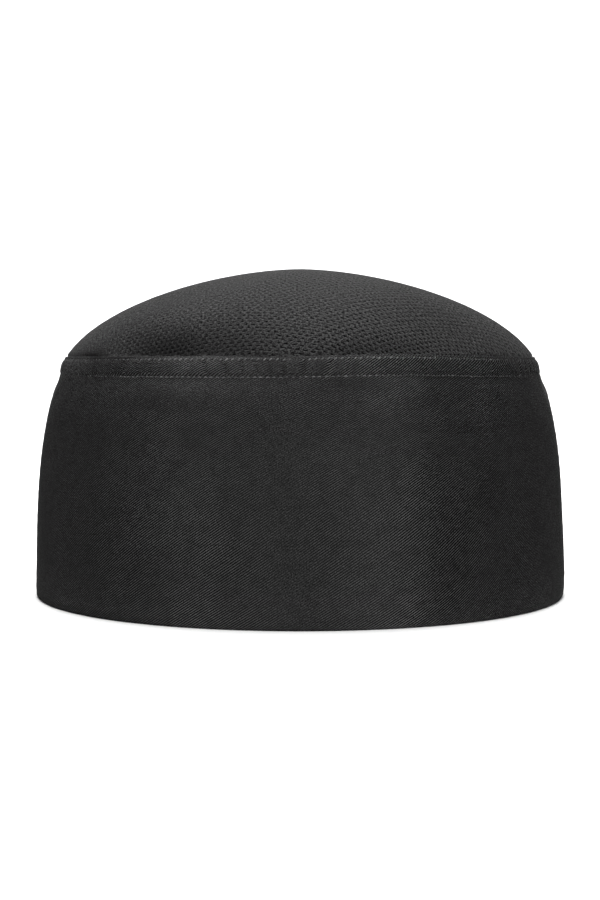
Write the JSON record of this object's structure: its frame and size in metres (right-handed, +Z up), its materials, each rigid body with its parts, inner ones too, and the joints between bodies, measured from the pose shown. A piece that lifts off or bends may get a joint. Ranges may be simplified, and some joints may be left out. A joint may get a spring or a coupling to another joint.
{
  "type": "mesh beanie",
  "caption": "Chef-style cap: a tall doubled twill band, folded at its lower edge, with a low domed mesh crown sewn into a hem strip at its top.",
  "frame": {"origin": "middle of the lower edge, on the surface that the cap stands on", "axes": "+Z up through the crown, the front faces -Y, +X to the right of a viewer in front of the cap; the oval is longest along Y"},
  "size_m": [0.186, 0.204, 0.1139],
  "materials": {
    "twill": "black cotton-polyester twill, matt with a faint sheen on its diagonal ribs",
    "mesh_knit": "black knitted mesh, matt, with small staggered eyelets"
  },
  "bodies": {
    "root": {"band": "twill", "crown": "mesh_knit"}
  },
  "joints": []
}
